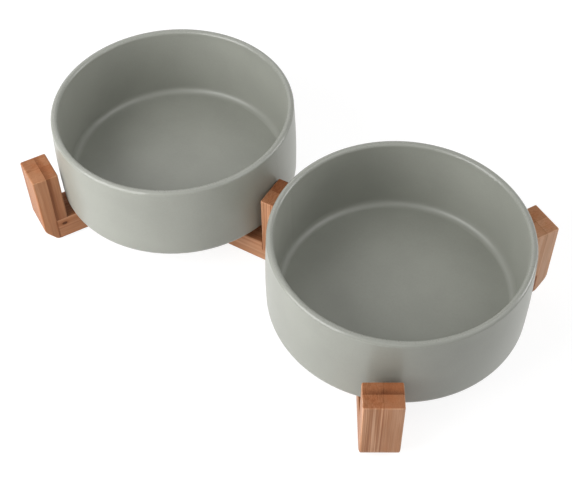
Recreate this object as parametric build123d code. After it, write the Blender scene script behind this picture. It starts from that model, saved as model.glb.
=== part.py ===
from build123d import *
import math
import os

# Double pet bowl: two loose ceramic bowls in a bamboo stand with five posts.
# Millimetres, +Z up. The origin is on the ground under the middle post, and +X runs along the long beam.
# Each hub under a bowl joins three bars, 120 degrees apart, in a pinwheel: every bar passes the hub on
# its right-hand side and ends against the side of the next bar. Both hubs share the long beam.

# Bowl
rim_radius = 77.5           # outside of the lip
belly_swell = 1.4           # how much the wall swells from the lip to its fullest part, halfway down
base_draw = 0.5             # how much the wall draws in again from there to its lower corner
belly_ease = 0.65           # share of the wall, above and below its fullest part, that is curved
bowl_height = 64.5
corner_fillet = 6.0         # lower corner of the wall
lip_width = 4.4             # thickness of the wall at the lip, which is fully rounded
wall_base = 5.4             # thickness of the wall where it reaches the floor
floor_fillet = 5.0          # inside, between the wall and the floor
floor_thickness = 5.8
foot_inset = 14.4           # from the lower corner of the wall to the outside of the foot
foot_width = 6.0
foot_height = 6.0           # from the ground to the sloping underside
heel_rise = 1.5             # how much the underside rises from the foot to the lower corner
foot_edge = 1.5             # rounding of the foot ring's edges
heel_fillet = 2.0           # where the sloping underside meets the foot
recess_height = 5.5         # from the ground to the underside of the floor, inside the foot ring
recess_fillet = 2.5         # inside the foot ring, under the floor

# Stand
bar_width = 23.0            # arms, beam and posts have the same width
bar_height = 17.0
post_height = 56.6          # from the underside of the bars
post_thickness = 17.0
toe_height = 10.0           # height of the slope that cuts the outer foot of an end post
toe_start = 1.8             # from the arm's end to the slope, along the ground; the tip is rounded over it
toe_fillet = 10.0           # rounding at the top of the slope
rebate_depth = 8.0          # how far an arm's end reaches in under its post
dado_depth = 7.0            # how far the middle post is let into the beam
hub_eye = 2.0               # from a hub's centre to the side of each bar that passes it
wood_edge = 1.0             # rounding of the posts' edges
bar_edge = 0.8              # rounding of the bars' long edges
bowl_inward = 1.0           # how far each loose bowl stands off its hub, towards the middle post
bowl_sideways = 1.1         # the same, towards the beam
end_clearance = 2.9         # an end post to a bowl that is centred on its hub
middle_clearance = 0.2      # the middle post to the bowls as they stand
glue_gap = 0.1              # between glued faces

# Dowels
dowel_diameter = 6.0
dowel_clearance = 0.1       # on the diameter
dowel_chamfer = 0.6
hub_dowel_length = 22.0
post_dowel_length = 20.0
middle_dowel_length = 20.0
hole_end_gap = 0.5          # from a dowel's end to the bottom of its hole
side_wood = 3.0             # from a post's dowels to the sides of the post, and to the top of the arm
outer_wood = 2.0            # from the bottom of a dowel's hole to the sloping toe of an end post
pad_wood = 1.5              # from the bottom of a dowel's hole to the middle pad

# Non-slip pads
pad_diameter = 12.0
pad_thickness = 2.5
pad_projection = 1.0        # how far a pad stands out below the bars
pad_clearance = 0.4         # on the diameter
pad_inset = 6.0             # from an end post's inner face to the centre of its pad

# Places that follow from the sizes
arm_turn = 120.0
belly_radius = rim_radius + belly_swell
base_radius = belly_radius - base_draw
foot_radius = base_radius - foot_inset
bar_bottom = pad_projection
bar_top = bar_bottom + bar_height
post_top = bar_bottom + post_height
bar_middle = bar_bottom + bar_height / 2
hub_side = hub_eye + bar_width / 2
post_inner = belly_radius + end_clearance
post_outer = post_inner + post_thickness
arm_end = post_inner + rebate_depth - glue_gap
dado_floor = bar_top - dado_depth
hub_along = belly_radius + bowl_inward + middle_clearance + post_thickness / 2
dowel_side = (bar_width - dowel_diameter) / 2 - side_wood
dowel_level = bar_top - side_wood - dowel_diameter / 2
hole_radius = (dowel_diameter + dowel_clearance) / 2
hubs = {
    "left": Pos(-hub_along, hub_side, 0),
    "right": Pos(hub_along, -hub_side, 0) * Rot(0, 0, 180),
}
arm_turns = {
    "left": {"back": arm_turn, "front": 2 * arm_turn},
    "right": {"front": arm_turn, "back": 2 * arm_turn},
}


def bowl():
    """One bowl, standing on z = 0, turned about Z from its profile."""
    lip_radius = lip_width / 2
    lip_level = bowl_height - lip_radius
    corner_level = foot_height + heel_rise
    floor_top = recess_height + floor_thickness
    half_wall = (lip_level - corner_level) / 2
    belly_turn = math.atan(belly_swell / half_wall) + math.atan(base_draw / half_wall)
    belly_curve = belly_ease * half_wall / math.tan(belly_turn / 2)
    lip_outside = (rim_radius, lip_level)
    lip_inside = (rim_radius - lip_width, lip_level)
    outside = FilletPolyline(
        lip_outside,
        (belly_radius, corner_level + half_wall),
        (base_radius, corner_level),
        (foot_radius, foot_height),
        (foot_radius, 0),
        (foot_radius - foot_width, 0),
        (foot_radius - foot_width, recess_height),
        (0, recess_height),
        radius=[belly_curve, corner_fillet, heel_fillet, foot_edge, foot_edge, recess_fillet],
    )
    inside = FilletPolyline(
        (0, floor_top),
        (base_radius - wall_base, floor_top),
        lip_inside,
        radius=floor_fillet,
    )
    lip = ThreePointArc(lip_inside, (rim_radius - lip_radius, bowl_height), lip_outside)
    middle = Line((0, recess_height), (0, floor_top))
    profile = make_face([outside, inside, lip, middle])
    return revolve(Plane.XZ * profile, Axis.Z)


def mitre(side):
    """How far along a bar its mitred end lies, at a distance from the hub to the bar's right."""
    turn = math.radians(arm_turn)
    return (side * math.cos(turn) - hub_eye) / math.sin(turn)


def dowel(length):
    """A chamfered dowel along +Z from z = 0."""
    pin = Pos(0, 0, length / 2) * Cylinder(dowel_diameter / 2, length)
    return chamfer(pin.edges().filter_by(GeomType.CIRCLE), dowel_chamfer)


def dowel_hole(length):
    """The tool for the hole of a dowel along +Z from z = 0, longer than the dowel at both ends."""
    return Pos(0, 0, length / 2) * Cylinder(hole_radius, length + 2 * hole_end_gap)


def hub_dowel_place():
    """Where the dowel of a bar's mitred end starts, in the frame of a bar along +X from its hub."""
    near = hub_eye
    far = hub_eye + bar_width
    centre = Pos((mitre(near) + mitre(far)) / 2, -(near + far) / 2, bar_middle)
    across_face = Rot(0, 0, 270 - arm_turn) * Rot(0, 90, 0)
    return centre * across_face * Pos(0, 0, -hub_dowel_length / 2)


def hub_holes():
    """The two dowel holes that each bar has at a hub: in its end and in its side."""
    hole = hub_dowel_place() * dowel_hole(hub_dowel_length)
    return hole + Rot(0, 0, arm_turn) * hole


def hub_dowels():
    """The three dowels of a hub."""
    return [Rot(0, 0, arm_turn * turn) * hub_dowel_place() * dowel(hub_dowel_length) for turn in range(3)]


def bar(outline):
    """A bar with rounded long edges on a plan outline."""
    body = extrude(make_face(Polyline(outline, close=True)), bar_height)
    levels = body.edges().filter_by(Plane.XY)
    longest = levels.sort_by(SortBy.LENGTH)[-4:]
    return Pos(0, 0, bar_bottom) * fillet(longest, bar_edge)


def pad():
    """A non-slip pad on the ground."""
    return Pos(0, 0, pad_thickness / 2) * Cylinder(pad_diameter / 2, pad_thickness)


def pad_recess():
    """The tool for the recess that a pad sits in."""
    depth = pad_thickness - pad_projection
    return Pos(0, 0, bar_bottom + depth / 2) * Cylinder((pad_diameter + pad_clearance) / 2, depth)


def pad_place():
    """The centre of an arm's pad, in the frame of a bar along +X from its hub."""
    return Pos(post_inner - pad_inset, -hub_side, 0)


def post_outside(level):
    """How far from its hub the outside of an end post lies at a level."""
    start = post_inner + rebate_depth + toe_start
    slope = (post_outer - start) / toe_height
    return min(post_outer, start + slope * (level - bar_bottom))


def end_dowel_places():
    """Where an end post's two dowels start, in the frame of a bar along +X from its hub."""
    hole_end = post_outside(dowel_level - hole_radius) - outer_wood
    start = hole_end - hole_end_gap - post_dowel_length
    sides = [-hub_side - dowel_side, -hub_side + dowel_side]
    return [Pos(start, side, dowel_level) * Rot(0, 90, 0) for side in sides]


def arm():
    """A short arm along +X from its hub."""
    near = hub_eye
    far = hub_eye + bar_width
    body = bar([(mitre(near), -near), (arm_end, -near), (arm_end, -far), (mitre(far), -far)])
    for place in end_dowel_places():
        body -= place * dowel_hole(post_dowel_length)
    return body - hub_holes() - pad_place() * pad_recess()


def end_post():
    """An end post: its outer half runs down past the arm's end to a foot with a sloping, rounded toe."""
    heel = (post_inner + rebate_depth, bar_bottom)
    seat = bar_top + glue_gap
    toe = (post_outer, bar_bottom + toe_height)
    slope = math.atan2(toe_height, post_outer - heel[0] - toe_start)
    tip_end = (heel[0] + toe_start * (1 + math.cos(slope)), bar_bottom + toe_start * math.sin(slope))
    tip = TangentArc(heel, tip_end, tangent=(1, 0))
    corners = [tip_end, toe, (post_outer, post_top), (post_inner, post_top),
               (post_inner, seat), (heel[0], seat), heel]
    outline = make_face([tip, Polyline(corners)])
    outline = fillet(outline.vertices().sort_by_distance(toe)[0], toe_fillet)
    body = Pos(0, -hub_eye, 0) * extrude(Plane.XZ * outline, bar_width)
    outer = body.edges().filter_by(lambda edge: edge.center().X > heel[0] + toe_start / 4)
    upper = body.edges().filter_by(lambda edge: edge.center().Z > seat + wood_edge)
    body = fillet(ShapeList(set(outer + upper)), wood_edge)
    for place in end_dowel_places():
        body -= place * dowel_hole(post_dowel_length)
    return body


def middle_dowel_places():
    """Where the middle post's two dowels start."""
    start = pad_thickness + pad_wood + hole_end_gap
    return [Pos(0, side, start) for side in (-dowel_side, dowel_side)]


def middle_post():
    """The post that both bowls share, let into the beam."""
    bottom = dado_floor + glue_gap
    height = post_top - bottom
    body = Pos(0, 0, bottom + height / 2) * Box(post_thickness, bar_width, height)
    top = body.faces().sort_by(Axis.Z)[-1]
    body = fillet(body.edges().filter_by(Axis.Z) + top.edges(), wood_edge)
    for place in middle_dowel_places():
        body -= place * dowel_hole(middle_dowel_length)
    return body


def beam():
    """The long beam, whose two ends close the two hubs."""
    near = (mitre(hub_eye) - hub_along, bar_width / 2)
    far = (mitre(hub_eye + bar_width) - hub_along, -bar_width / 2)
    body = bar([near, (-far[0], -far[1]), (-near[0], -near[1]), far])
    dado = Box(post_thickness + 2 * glue_gap, bar_width, dado_depth)
    body -= Pos(0, 0, bar_top - dado_depth / 2) * dado
    for hub in hubs.values():
        body -= hub * hub_holes()
    for place in middle_dowel_places():
        body -= place * dowel_hole(middle_dowel_length)
    return body - pad_recess()


def build():
    """Every piece of the object by its node's name."""
    nodes = {"beam": beam(), "middle_post": middle_post(), "middle_pad": pad()}
    nodes["middle_post_dowels"] = [place * dowel(middle_dowel_length) for place in middle_dowel_places()]
    for side, hub in hubs.items():
        nodes[side + "_bowl"] = hub * Pos(bowl_inward, -bowl_sideways, bar_top) * bowl()
        nodes[side + "_hub_dowels"] = [hub * pin for pin in hub_dowels()]
        for end, turn in arm_turns[side].items():
            name = side + "_" + end
            place = hub * Rot(0, 0, turn)
            nodes[name + "_arm"] = place * arm()
            nodes[name + "_post"] = place * end_post()
            nodes[name + "_pad"] = place * pad_place() * pad()
            nodes[name + "_post_dowels"] = [
                place * start * dowel(post_dowel_length) for start in end_dowel_places()
            ]
    return nodes


os.makedirs("parts", exist_ok=True)
for node, shape in build().items():
    solids = shape if isinstance(shape, list) else [shape]
    piece = Compound(label=node, children=[solid for group in solids for solid in group.solids()])
    export_step(piece, "parts/" + node + ".step")
    print(node, round(sum(solid.volume for solid in piece.solids()), 1))
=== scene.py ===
import math
import bpy
from mathutils import Matrix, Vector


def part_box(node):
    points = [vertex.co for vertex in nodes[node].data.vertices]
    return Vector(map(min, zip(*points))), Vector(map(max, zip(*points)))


# Double pet bowl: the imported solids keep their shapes, and this script gives them their materials,
# the light, the floor and the camera. Metres, in the part's own frame.

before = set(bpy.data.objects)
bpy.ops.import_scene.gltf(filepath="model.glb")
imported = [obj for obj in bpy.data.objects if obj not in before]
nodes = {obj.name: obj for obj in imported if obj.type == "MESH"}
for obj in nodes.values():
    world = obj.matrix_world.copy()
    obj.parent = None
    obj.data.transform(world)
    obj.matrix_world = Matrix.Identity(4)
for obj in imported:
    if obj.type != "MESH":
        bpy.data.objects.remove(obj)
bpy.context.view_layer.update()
scene = bpy.context.scene
scene.view_settings.view_transform = "Standard"

MM = 0.001

# Sizes of the stand, repeated from the part's source, in millimetres
HUB_ALONG = 88.6            # from the middle post to each hub, along the beam
HUB_SIDE = 13.5             # from a hub to the middle line of each bar that passes it
BAR_HEIGHT = 17.0
BAR_BOTTOM = 1.0
BAR_MIDDLE = BAR_BOTTOM + BAR_HEIGHT / 2
POST_THICKNESS = 17.0
POST_MIDDLE = 90.3          # from a hub to the middle of an end post
REBATE = 8.0                # from an end post's inner face to the end of its arm
POST_SEAM = REBATE - POST_THICKNESS / 2     # from a post's middle to its seam
POST_JOINT = BAR_HEIGHT     # the level on a post up to which its seam is the joint with its arm
ARM_ORIGIN = 40.0           # from a hub to the place that an arm's grain is measured from
ARM_END = POST_MIDDLE - POST_THICKNESS / 2 + REBATE
BAR_SEAM = 0.8              # a bar's seam, above its middle
NO_SEAM = 500.0             # a seam too far off to show

# Levels of the bowls, in millimetres, from where a change begins to where it is complete
GLAZE_END = (18.9, 18.6)    # bare clay at the foot
INNER_CORNER = (36.5, 34.5)  # the rounded corner between wall and floor
LIP_GLOSS = (80.0, 81.5)
LIP_PAINTED_SHADE = (80.7, 82.0)

GLAZE_TONES = ((0.285, 0.292, 0.258, 1), (0.315, 0.322, 0.285, 1))
# Painted shade: a darker glaze on the lip, to tone down the light on its rounded top
PAINTED_SHADE_ON_LIP = (0.285, 0.291, 0.259, 1)
# Painted shade: a darker glaze in the rounded corner between wall and floor, to tone down its ring of highlight
PAINTED_SHADE_IN_CORNER = (0.280, 0.287, 0.254, 1)
CLAY_TONES = ((0.31, 0.29, 0.245, 1), (0.40, 0.37, 0.315, 1))
RUBBER_TONES = ((0.035, 0.035, 0.036, 1), (0.065, 0.064, 0.062, 1))

# Noise of the bowls and pads: scale per millimetre, detail and roughness
CLOUD_NOISE = (0.035, 3.0, 0.5)
MOTTLE_NOISE = (0.9, 3.0, 0.6)
SKIN_NOISE = (0.45, 2.0, 0.5)
GRIT_NOISE = (2.5, 4.0, 0.7)
RUBBER_NOISE = (3.0, 3.0, 0.7)
CLOUD_SHARE, MOTTLE_SHARE = 0.65, 0.35      # in the glaze's tone

# Ranges over which a mask on the bowls goes from 0 to 1
TONE_RANGE = (0.3, 0.7)
OUTSIDE_RANGE = (0.2, 0.6)                  # how far the surface faces away from the bowl's axis
CORNER_STEEP, CORNER_FLAT = (0.05, 0.25), (0.995, 0.95)     # how far it faces up in the rounded corner

# Finish of the bowls and pads: roughness and what it gains or loses in places, gloss, and bump, as its depth
# and its strength
GLAZE_ROUGHNESS = 0.37
MOTTLE_ROUGHNESS = 0.06
OUTSIDE_ROUGHNESS = -0.04
CORNER_ROUGHNESS = -0.05
LIP_ROUGHNESS = -0.12
CLAY_ROUGHNESS = 0.40
GLAZE_GLOSS = 0.5
GLAZE_BUMP = (0.04 * MM, 0.4)
RUBBER_ROUGHNESS, RUBBER_GRAIN_ROUGHNESS = 0.60, 0.25
RUBBER_BUMP = (0.10 * MM, 0.6)

# Carbonised bamboo, from its palest fibres, tone 0, to its darkest, tone 1
BAMBOO_TONES = ((0.68, 0.42, 0.28, 1), (0.45, 0.22, 0.115, 1), (0.28, 0.108, 0.047, 1), (0.10, 0.032, 0.012, 1))
WARM = (1.04, 0.96, 0.90, 1)

# Noise of the bamboo: a stretch along the fibres, and then scale per millimetre, detail and roughness
STREAK_STRETCH, STREAK_DEPTH, STREAK_NOISE = 0.010, 0.3, (1.30, 1.0, 0.5)
FINE_STRETCH, FINE_NOISE = 0.02, (1.9, 2.0, 0.6)
BROAD_STRETCH, BROAD_NOISE = 0.12, (0.11, 2.0, 0.5)
WARM_STRETCH, WARM_NOISE = 0.10, (0.16, 2.0, 0.5)
DASH_STRETCH, DASH_SCALE = 0.012, 0.95

# Ranges over which a mask on the bamboo goes from 0 to 1, those from GLUE on in millimetres
FACING_RANGE = (0.6, 0.9)
WEAR_AND_HIGHLIGHT_RANGE = (0.97, 0.80)
STREAK_RANGE = (0.36, 0.64)
WARM_RANGE = (0.35, 0.65)
DASH_RANGE = (0.28, 0.10)
GLUE_RANGE = (0.30, 0.08)
JOINT_RANGE = (0.9, 0.2)
SHADE_RANGE = (5.0, 0.0)
KNOT_RANGE, KNOT_RING_RANGE = (1.35, 0.75), (3.0, 1.2)
KNOT_SQUEEZE = 0.65         # a knot is longer along the fibres

# Finish of the bamboo
BAMBOO_ROUGHNESS, FINE_ROUGHNESS, END_ROUGHNESS = 0.38, 0.16, 0.12
BAMBOO_GLOSS = 0.12
DASH_RELIEF = -0.5
BAMBOO_BUMP = (0.10 * MM, 0.5)

# What changes the bamboo's tone, and by how much
BROAD_REACH = 0.25          # slow change along a strip, to both sides
STREAK_REACH = 0.5          # bundles of fibres, to both sides, times a strip's strength of lines
FINE_REACH = 0.12           # single fibres, to both sides
DASH_TONE = 0.09            # vessels cut open
GLUE_TONE = 0.12            # the line between two strips
# Rounded edges lighter: partly wear, partly a painted highlight
WEAR_AND_HIGHLIGHT_TONE = -0.10           # rounded edges
# Painted shade: the upper faces of the bars are darkened for the shadow that the bowls cast on them
PAINTED_SHADE_ON_TOPS = 0.18          # upper faces of the bars
PLAIN_CUT = 0.15            # sawn ends, where a piece has no value of its own
JOINT_TONE = 0.20           # the joint of an arm and its post
KNOT_TONE = 1.0
KNOT_RING_TONE = 0.12
BROAD_ON_END = -0.5         # what the sawn ends take off the broad change
LINES_ON_END = -0.7         # and off the lines

# The end posts, in the order of their seeds: the angle of their arm, the tones of their four strips,
# how strongly the lines show in each, how much darker the sawn end is, and the shade beside the seam
END_POSTS = {
    "left_back": (120.0, (0.36, 0.42, 0.33, 0.38), (0.25, 0.2, 0.2, 0.28), 0.14, 0.15),
    "left_front": (240.0, (0.45, 0.52, 0.50, 0.42), (0.3, 0.15, 0.3, 0.12), 0.06, 0.22),
    "right_front": (300.0, (0.36, 0.38, 0.36, 0.33), (0.25, 0.10, 0.34, 0.06), 0.26, 0.22),
    # The right back post's strips are much paler than the others: painted light on its outer side, which the
    # lamps light little
    "right_back": (60.0, (0.06, 0.16, 0.03, 0.14), (0.15, 0.2, 0.2, 0.2), 0.24, 0.05),
}
ARM_TONES, ARM_LINES = (0.36, 0.42, 0.40, 0.37), (0.2, 0.1, 0.15, 0.12)
ARM_KNOTS = {"left_front": (84.8 - ARM_ORIGIN, 4.0)}
MIDDLE_POST_TONES, MIDDLE_POST_LINES, MIDDLE_POST_CUT = (0.30, 0.29, 0.42, 0.48), (0.45, 0.45, 0.3, 0.4), 0.20
MIDDLE_POST_ANGLE = 90.0
BEAM_TONES, BEAM_LINES = (0.33, 0.38, 0.36, 0.34), (0.2, 0.2, 0.2, 0.3)
DOWEL_TONES, DOWEL_LINES = (0.2, 0.2, 0.2, 0.2), (0.2, 0.2, 0.2, 0.2)

# Where each piece lies in the noise of the grain
POST_SEED_STEP = 3.1
ARM_SEED_START = 20.0
MIDDLE_POST_SEED = 14.2
BEAM_SEED = 17.3
DOWEL_SEED = 31.0

# The camera, fitted to the photograph's view
CAMERA_PLACE = (0.24453, -0.39534, 0.55858)
CAMERA_HEADING, CAMERA_TILT, CAMERA_ROLL = 31.415, 40.449, -1.117
CAMERA_LENS, CAMERA_SENSOR = 69.055, 36.0
CAMERA_CLIP = (0.01, 50.0)

# The light: azimuth and elevation of each lamp, its distance and size, its power, and whether gloss shows it
LAMPS = {
    "key": (240.0, 30.0, 0.7, 0.6, 6.2, True),
    "front": (290.0, 50.0, 1.0, 0.6, 1.0, True),
    "side": (20.0, 50.0, 1.2, 0.8, 3.8, True),
    "low_side": (40.0, 15.0, 2.0, 0.8, 14.0, True),
    "back": (150.0, 50.0, 0.8, 0.5, 0.75, True),
    "low_back": (130.0, 10.0, 1.5, 0.7, 6.0, False),
}
LAMP_AIM = (0, 0, 0.04)
WORLD_LIGHT = 0.08
WHITE = (1, 1, 1, 1)

# The floor: half its side, its own grey, the grey that takes the shadow, and the glow that makes it white,
# from beside the object to further out
FLOOR_REACH = 8.0
FLOOR_GREY = (0.8, 0.8, 0.8, 1)
SHADOW_GREY = (0.25, 0.25, 0.25, 1)
GLOW_NEAR, GLOW_FAR = 0.25, 1.0
GLOW_BESIDE, GLOW_OUTSIDE = 0.85, 1.0


class Shader:
    """A material with a Principled shader, and short ways to add nodes to it."""

    def __init__(self, name):
        self.material = bpy.data.materials.new(name)
        self.material.use_nodes = True
        self.tree = self.material.node_tree
        self.tree.nodes.clear()
        self.output = self.tree.nodes.new("ShaderNodeOutputMaterial")
        self.surface = self.tree.nodes.new("ShaderNodeBsdfPrincipled")
        self.link(self.surface.outputs["BSDF"], self.output.inputs["Surface"])

    def link(self, source, target):
        self.tree.links.new(source, target)

    def feed(self, socket, value):
        """Links a node's output to a socket, or sets the socket's own value."""
        if isinstance(value, bpy.types.NodeSocket):
            self.link(value, socket)
        else:
            socket.default_value = value

    def math(self, operation, first, second=0.0, third=0.0):
        node = self.tree.nodes.new("ShaderNodeMath")
        node.operation = operation
        for socket, value in zip(node.inputs, (first, second, third)):
            self.feed(socket, value)
        return node.outputs["Value"]

    def shift(self, value, mask, amount):
        """A value that gains an amount where the mask is 1."""
        return self.math("MULTIPLY_ADD", mask, amount, value)

    def distance(self, x, y):
        """The length of two sides at a right angle."""
        return self.math("SQRT", self.math("MULTIPLY_ADD", x, x, self.math("MULTIPLY", y, y)))

    def ramp(self, value, low, high, start=0.0, end=1.0):
        """A value taken smoothly from low..high to start..end."""
        node = self.tree.nodes.new("ShaderNodeMapRange")
        node.interpolation_type = "SMOOTHSTEP"
        for name, given in (("Value", value), ("From Min", low), ("From Max", high),
                            ("To Min", start), ("To Max", end)):
            self.feed(node.inputs[name], given)
        return node.outputs["Result"]

    def mix(self, factor, first, second, blend="MIX"):
        """Two colours mixed by a factor."""
        node = self.tree.nodes.new("ShaderNodeMix")
        node.data_type = "RGBA"
        node.blend_type = blend
        self.feed(node.inputs["Factor"], factor)
        colours = [socket for socket in node.inputs if socket.type == "RGBA"]
        self.feed(colours[0], first)
        self.feed(colours[1], second)
        return [socket for socket in node.outputs if socket.type == "RGBA"][0]

    def stops(self, value, colours):
        """A colour that runs through evenly spaced stops."""
        node = self.tree.nodes.new("ShaderNodeValToRGB")
        band = node.color_ramp.elements
        for number in range(1, len(colours) - 1):
            band.new(number / (len(colours) - 1))
        for element, colour in zip(band, colours):
            element.color = colour
        self.link(value, node.inputs["Fac"])
        return node.outputs["Color"]

    def noise(self, vector, scale, detail, roughness):
        node = self.tree.nodes.new("ShaderNodeTexNoise")
        self.feed(node.inputs["Vector"], vector)
        node.inputs["Scale"].default_value = scale
        node.inputs["Detail"].default_value = detail
        node.inputs["Roughness"].default_value = roughness
        return node.outputs["Fac"]

    def cells(self, vector, scale):
        """The distance to the nearest of many scattered points."""
        node = self.tree.nodes.new("ShaderNodeTexVoronoi")
        self.feed(node.inputs["Vector"], vector)
        node.inputs["Scale"].default_value = scale
        return node.outputs["Distance"]

    def turned(self, output, angle):
        """A mapping of the piece's own coordinates or normals into a frame turned about Z."""
        where = self.tree.nodes.new("ShaderNodeTexCoord")
        node = self.tree.nodes.new("ShaderNodeMapping")
        node.vector_type = "TEXTURE"
        self.link(where.outputs[output], node.inputs["Vector"])
        node.inputs["Rotation"].default_value = (0, 0, math.radians(angle))
        return node

    def place(self, origin=(0, 0, 0), angle=0.0):
        """Millimetres on the piece's own mesh, from an origin in metres, in a frame turned about Z."""
        node = self.turned("Object", angle)
        node.inputs["Location"].default_value = origin
        node.inputs["Scale"].default_value = (MM, MM, MM)
        return node.outputs["Vector"]

    def facing(self, angle=0.0):
        """The surface's direction in the piece's own frame, turned about Z."""
        return self.turned("Normal", angle).outputs["Vector"]

    def split(self, vector):
        node = self.tree.nodes.new("ShaderNodeSeparateXYZ")
        self.feed(node.inputs["Vector"], vector)
        return node.outputs["X"], node.outputs["Y"], node.outputs["Z"]

    def join(self, x, y, z):
        node = self.tree.nodes.new("ShaderNodeCombineXYZ")
        for socket, value in zip(node.inputs, (x, y, z)):
            self.feed(socket, value)
        return node.outputs["Vector"]

    def bump(self, height, depth, strength):
        node = self.tree.nodes.new("ShaderNodeBump")
        node.inputs["Strength"].default_value = strength
        node.inputs["Distance"].default_value = depth
        self.feed(node.inputs["Height"], height)
        self.link(node.outputs["Normal"], self.surface.inputs["Normal"])

    def set(self, **values):
        """Sets the shader's sockets by name, with underscores for spaces."""
        for name, value in values.items():
            self.feed(self.surface.inputs[name.replace("_", " ")], value)


def glaze(bowl):
    """Satin sage-grey glaze, smoother outside, on the lip and in the corner, with painted shade darkening it on
    the lip and in the corner, and wiped off the foot.
    """
    low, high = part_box(bowl)
    shader = Shader(bowl + "_glaze")
    here = shader.place()
    x, y, z = shader.split(shader.place(((low.x + high.x) / 2, (low.y + high.y) / 2, 0.0)))
    across, aside, up = shader.split(shader.facing())
    outward = shader.math("MULTIPLY_ADD", across, x, shader.math("MULTIPLY", aside, y))
    outside = shader.ramp(shader.math("DIVIDE", outward, shader.distance(x, y)), *OUTSIDE_RANGE)
    corner = shader.math("MULTIPLY", shader.ramp(up, *CORNER_STEEP), shader.ramp(up, *CORNER_FLAT))
    corner = shader.math("MULTIPLY", corner, shader.ramp(z, *INNER_CORNER))
    lip = shader.ramp(z, *LIP_GLOSS)
    bare = shader.ramp(z, *GLAZE_END)

    cloud = shader.noise(here, *CLOUD_NOISE)
    mottle = shader.noise(here, *MOTTLE_NOISE)
    grit = shader.noise(here, *GRIT_NOISE)
    skin = shader.noise(here, *SKIN_NOISE)
    tone = shader.math("MULTIPLY_ADD", mottle, MOTTLE_SHARE, shader.math("MULTIPLY", cloud, CLOUD_SHARE))
    colour = shader.mix(shader.ramp(tone, *TONE_RANGE), *GLAZE_TONES)
    # painted shade on the lip
    colour = shader.mix(shader.ramp(z, *LIP_PAINTED_SHADE), colour, PAINTED_SHADE_ON_LIP)
    # painted shade in the inner corner
    colour = shader.mix(corner, colour, PAINTED_SHADE_IN_CORNER)
    colour = shader.mix(bare, colour, shader.mix(grit, *CLAY_TONES))

    roughness = GLAZE_ROUGHNESS
    for mask, change in ((mottle, MOTTLE_ROUGHNESS), (outside, OUTSIDE_ROUGHNESS),
                         (corner, CORNER_ROUGHNESS), (lip, LIP_ROUGHNESS), (bare, CLAY_ROUGHNESS)):
        roughness = shader.shift(roughness, mask, change)
    shader.set(Base_Color=colour, Roughness=roughness, Specular_IOR_Level=GLAZE_GLOSS)
    shader.bump(shader.math("MULTIPLY_ADD", grit, bare, skin), *GLAZE_BUMP)
    return shader.material


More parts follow.
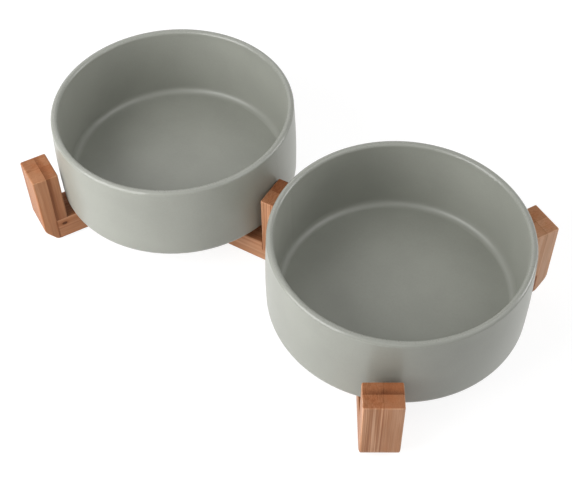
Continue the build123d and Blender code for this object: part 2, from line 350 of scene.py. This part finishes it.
def bamboo(name, origin, angle, upright, seam, tones, lines, seed,
           cut=PLAIN_CUT, shade=0.0, joint=None, knot=None):
    """Carbonised bamboo, laminated from four strips that meet at a seam.

    The origin is in millimetres: the middle of a post's foot, or a place on a bar's middle line. The tones are
    those of the four strips, lines says how strongly the fibres show in each, cut how much darker the sawn ends
    are, and shade how much darker the inner strips get beside the seam. The joint is a glued face, as its place
    along a bar or, on a post, the level up to which its seam is one. A knot is a place on a bar's long sides.
    """
    shader = Shader(name)
    x, y, z = shader.split(shader.place([value * MM for value in origin], angle))
    along, first = (z, x) if upright else (x, z)
    facing = shader.split(shader.facing(angle))
    slopes = [shader.math("ABSOLUTE", part) for part in facing]
    end = shader.ramp(slopes[2] if upright else slopes[0], *FACING_RANGE)
    flat = shader.math("MAXIMUM", shader.math("MAXIMUM", slopes[0], slopes[1]), slopes[2])
    # lighter rounded edges, partly wear and partly a painted highlight
    wear_and_highlight = shader.ramp(flat, *WEAR_AND_HIGHLIGHT_RANGE)
    from_seam = shader.math("ABSOLUTE", shader.math("SUBTRACT", first, seam))

    def by_strip(values):
        """A value that differs between the four strips."""
        upper = shader.math("GREATER_THAN", first, seam)
        right = shader.math("GREATER_THAN", y, 0.0)
        low = shader.shift(values[0], right, values[1] - values[0])
        high = shader.shift(values[2], right, values[3] - values[2])
        return shader.shift(low, upper, shader.math("SUBTRACT", high, low))

    def drawn(stretch, depth=1.0):
        """A place drawn out along the fibres, and by depth through the strips."""
        return shader.join(shader.math("MULTIPLY_ADD", along, stretch, seed),
                           shader.math("MULTIPLY", first, depth), y)

    def swing(value, reach):
        """Noise taken to a range of that reach on both sides of nothing."""
        return shader.math("MULTIPLY_ADD", value, 2 * reach, -reach)

    streak = shader.ramp(shader.noise(drawn(STREAK_STRETCH, STREAK_DEPTH), *STREAK_NOISE), *STREAK_RANGE)
    fine = shader.noise(drawn(FINE_STRETCH), *FINE_NOISE)
    broad = shader.noise(drawn(BROAD_STRETCH), *BROAD_NOISE)
    dash = shader.ramp(shader.cells(drawn(DASH_STRETCH), DASH_SCALE), *DASH_RANGE)
    glue = shader.ramp(shader.math("MINIMUM", from_seam, shader.math("ABSOLUTE", y)), *GLUE_RANGE)

    tone = by_strip(tones)
    tone = shader.shift(tone, shader.shift(1.0, end, BROAD_ON_END), swing(broad, BROAD_REACH))
    strength = shader.math("MULTIPLY", by_strip(lines), shader.shift(1.0, end, LINES_ON_END))
    tone = shader.shift(tone, strength, swing(streak, STREAK_REACH))
    tone = shader.math("ADD", tone, swing(fine, FINE_REACH))
    for mask, change in ((dash, DASH_TONE), (end, cut), (glue, GLUE_TONE), (wear_and_highlight, WEAR_AND_HIGHLIGHT_TONE)):
        tone = shader.shift(tone, mask, change)
    if not upright:
        # painted shade on the upper faces of the bars
        tone = shader.shift(tone, shader.ramp(facing[2], *FACING_RANGE), PAINTED_SHADE_ON_TOPS)
    if joint is not None and upright:
        beside = shader.ramp(from_seam, *JOINT_RANGE)
        below = shader.math("LESS_THAN", z, joint)
        tone = shader.shift(tone, shader.math("MULTIPLY", beside, below), JOINT_TONE)
        inside = shader.math("LESS_THAN", first, seam)
        near = shader.ramp(shader.math("SUBTRACT", seam, first), *SHADE_RANGE, 0.0, shade)
        tone = shader.shift(tone, near, inside)
    elif joint is not None:
        start, whole = (joint - distance for distance in JOINT_RANGE)
        tone = shader.math("ADD", tone, shader.ramp(along, start, whole, 0.0, JOINT_TONE))
    if knot is not None:
        offset = shader.math("MULTIPLY", shader.math("SUBTRACT", along, knot[0]), KNOT_SQUEEZE)
        far = shader.distance(offset, shader.math("SUBTRACT", first, knot[1]))
        tone = shader.math("ADD", tone, shader.ramp(far, *KNOT_RANGE, 0.0, KNOT_TONE))
        tone = shader.math("ADD", tone, shader.ramp(far, *KNOT_RING_RANGE, 0.0, KNOT_RING_TONE))

    colour = shader.stops(tone, BAMBOO_TONES)
    warmth = shader.ramp(shader.noise(drawn(WARM_STRETCH), *WARM_NOISE), *WARM_RANGE)
    colour = shader.mix(warmth, colour, WARM, "MULTIPLY")
    roughness = shader.shift(shader.shift(BAMBOO_ROUGHNESS, fine, FINE_ROUGHNESS), end, END_ROUGHNESS)
    shader.set(Base_Color=colour, Roughness=roughness, Specular_IOR_Level=BAMBOO_GLOSS)
    relief = shader.shift(shader.math("ADD", fine, streak), dash, DASH_RELIEF)
    shader.bump(relief, *BAMBOO_BUMP)
    return shader.material


def rubber():
    """Soft dark grey rubber of the pads."""
    shader = Shader("pad_rubber")
    grain = shader.noise(shader.place(), *RUBBER_NOISE)
    roughness = shader.shift(RUBBER_ROUGHNESS, grain, RUBBER_GRAIN_ROUGHNESS)
    shader.set(Base_Color=shader.mix(grain, *RUBBER_TONES), Roughness=roughness)
    shader.bump(grain, *RUBBER_BUMP)
    return shader.material


def dress(node, material):
    """Gives a CAD node a material."""
    mesh = nodes[node].data
    mesh.materials.clear()
    mesh.materials.append(material)


def on_arm(name, along, level):
    """A place on the middle line of an arm, from its hub, in millimetres."""
    side = -1 if name.startswith("left") else 1
    turn = math.radians(END_POSTS[name][0])
    return (side * HUB_ALONG + along * math.cos(turn) + HUB_SIDE * math.sin(turn),
            -side * HUB_SIDE + along * math.sin(turn) - HUB_SIDE * math.cos(turn), level)


def dress_all():
    """Gives every CAD node its material."""
    for bowl in ("left_bowl", "right_bowl"):
        dress(bowl, glaze(bowl))
    for number, (name, (angle, tones, lines, cut, shade)) in enumerate(END_POSTS.items()):
        seed = POST_SEED_STEP * number
        post_foot = on_arm(name, POST_MIDDLE, BAR_BOTTOM)
        dress(name + "_post", bamboo(name + "_post_bamboo", post_foot, angle, True, POST_SEAM,
                                     tones, lines, seed, cut, shade, POST_JOINT))
        arm_origin = on_arm(name, ARM_ORIGIN, BAR_MIDDLE)
        dress(name + "_arm", bamboo(name + "_arm_bamboo", arm_origin, angle, False, BAR_SEAM,
                                    ARM_TONES, ARM_LINES, seed + ARM_SEED_START,
                                    joint=ARM_END - ARM_ORIGIN, knot=ARM_KNOTS.get(name)))
    dress("middle_post", bamboo("middle_post_bamboo", (0, 0, BAR_BOTTOM), MIDDLE_POST_ANGLE, True, 0.0,
                                MIDDLE_POST_TONES, MIDDLE_POST_LINES, MIDDLE_POST_SEED, MIDDLE_POST_CUT))
    dress("beam", bamboo("beam_bamboo", (0, 0, BAR_MIDDLE), 0.0, False, BAR_SEAM,
                         BEAM_TONES, BEAM_LINES, BEAM_SEED))
    pad_rubber = rubber()
    for node in nodes:
        if node.endswith("_pad"):
            dress(node, pad_rubber)
        elif node.endswith("_dowels"):
            dress(node, bamboo(node + "_wood", (0, 0, 0), 0.0, True, NO_SEAM,
                               DOWEL_TONES, DOWEL_LINES, DOWEL_SEED))


def view():
    """The camera at the photograph's viewing angle."""
    data = bpy.data.cameras.new("camera")
    camera = bpy.data.objects.new("camera", data)
    scene.collection.objects.link(camera)
    scene.camera = camera
    data.sensor_width = CAMERA_SENSOR
    data.lens = CAMERA_LENS
    data.clip_start, data.clip_end = CAMERA_CLIP
    heading = Matrix.Rotation(math.radians(CAMERA_HEADING), 4, "Z")
    tilt = Matrix.Rotation(math.radians(CAMERA_TILT), 4, "X")
    roll = Matrix.Rotation(math.radians(CAMERA_ROLL), 4, "Z")
    camera.matrix_world = Matrix.Translation(CAMERA_PLACE) @ heading @ tilt @ roll


def white_to_camera(tree, plain, seen):
    """A mix that shows one shader to the camera and in reflections, and another to all other light."""
    path = tree.nodes.new("ShaderNodeLightPath")
    looks = path.outputs["Is Camera Ray"]
    for kind in ("Is Glossy Ray", "Is Transmission Ray"):
        either = tree.nodes.new("ShaderNodeMath")
        either.operation = "MAXIMUM"
        tree.links.new(looks, either.inputs[0])
        tree.links.new(path.outputs[kind], either.inputs[1])
        looks = either.outputs["Value"]
    mix = tree.nodes.new("ShaderNodeMixShader")
    tree.links.new(looks, mix.inputs["Fac"])
    tree.links.new(plain, mix.inputs[1])
    tree.links.new(seen, mix.inputs[2])
    return mix.outputs["Shader"]


def backdrop():
    """A world that lights evenly, and is seen white."""
    world = bpy.data.worlds.new("studio")
    scene.world = world
    world.use_nodes = True
    tree = world.node_tree
    tree.nodes.clear()
    output = tree.nodes.new("ShaderNodeOutputWorld")
    skies = []
    for strength in (WORLD_LIGHT, 1.0):
        sky = tree.nodes.new("ShaderNodeBackground")
        sky.inputs["Color"].default_value = WHITE
        sky.inputs["Strength"].default_value = strength
        skies.append(sky.outputs["Background"])
    tree.links.new(white_to_camera(tree, *skies), output.inputs["Surface"])


def floor():
    """A floor that keeps the object's shadow, and is seen white further out."""
    mesh = bpy.data.meshes.new("floor")
    corners = [(x * FLOOR_REACH, y * FLOOR_REACH, 0) for x, y in ((-1, -1), (1, -1), (1, 1), (-1, 1))]
    mesh.from_pydata(corners, [], [(0, 1, 2, 3)])
    ground = bpy.data.objects.new("floor", mesh)
    scene.collection.objects.link(ground)
    material = bpy.data.materials.new("floor_white")
    material.use_nodes = True
    tree = material.node_tree
    tree.nodes.clear()
    output = tree.nodes.new("ShaderNodeOutputMaterial")
    plain = tree.nodes.new("ShaderNodeBsdfDiffuse")
    plain.inputs["Color"].default_value = FLOOR_GREY
    shadow = tree.nodes.new("ShaderNodeBsdfDiffuse")
    shadow.inputs["Color"].default_value = SHADOW_GREY
    glow = tree.nodes.new("ShaderNodeEmission")
    where = tree.nodes.new("ShaderNodeTexCoord")
    distance = tree.nodes.new("ShaderNodeVectorMath")
    distance.operation = "LENGTH"
    fade = tree.nodes.new("ShaderNodeMapRange")
    fade.interpolation_type = "SMOOTHSTEP"
    for name, value in (("From Min", GLOW_NEAR), ("From Max", GLOW_FAR),
                        ("To Min", GLOW_BESIDE), ("To Max", GLOW_OUTSIDE)):
        fade.inputs[name].default_value = value
    tree.links.new(where.outputs["Object"], distance.inputs[0])
    tree.links.new(distance.outputs["Value"], fade.inputs["Value"])
    tree.links.new(fade.outputs["Result"], glow.inputs["Strength"])
    seen = tree.nodes.new("ShaderNodeAddShader")
    tree.links.new(shadow.outputs["BSDF"], seen.inputs[0])
    tree.links.new(glow.outputs["Emission"], seen.inputs[1])
    mixed = white_to_camera(tree, plain.outputs["BSDF"], seen.outputs["Shader"])
    tree.links.new(mixed, output.inputs["Surface"])
    mesh.materials.append(material)


def lamp(name, azimuth, elevation, distance, size, power, in_gloss):
    """A square soft lamp that looks at the object from a direction."""
    data = bpy.data.lights.new(name, "AREA")
    data.shape = "SQUARE"
    data.size = size
    data.energy = power
    light = bpy.data.objects.new(name, data)
    light.visible_camera = False
    light.visible_glossy = in_gloss
    scene.collection.objects.link(light)
    around, up = math.radians(azimuth), math.radians(elevation)
    aim = Matrix.Rotation(around + math.pi / 2, 4, "Z") @ Matrix.Rotation(math.pi / 2 - up, 4, "X")
    light.matrix_world = Matrix.Translation(LAMP_AIM) @ aim @ Matrix.Translation((0, 0, distance))


dress_all()
view()
floor()
backdrop()
for lamp_name, settings in LAMPS.items():
    lamp(lamp_name, *settings)
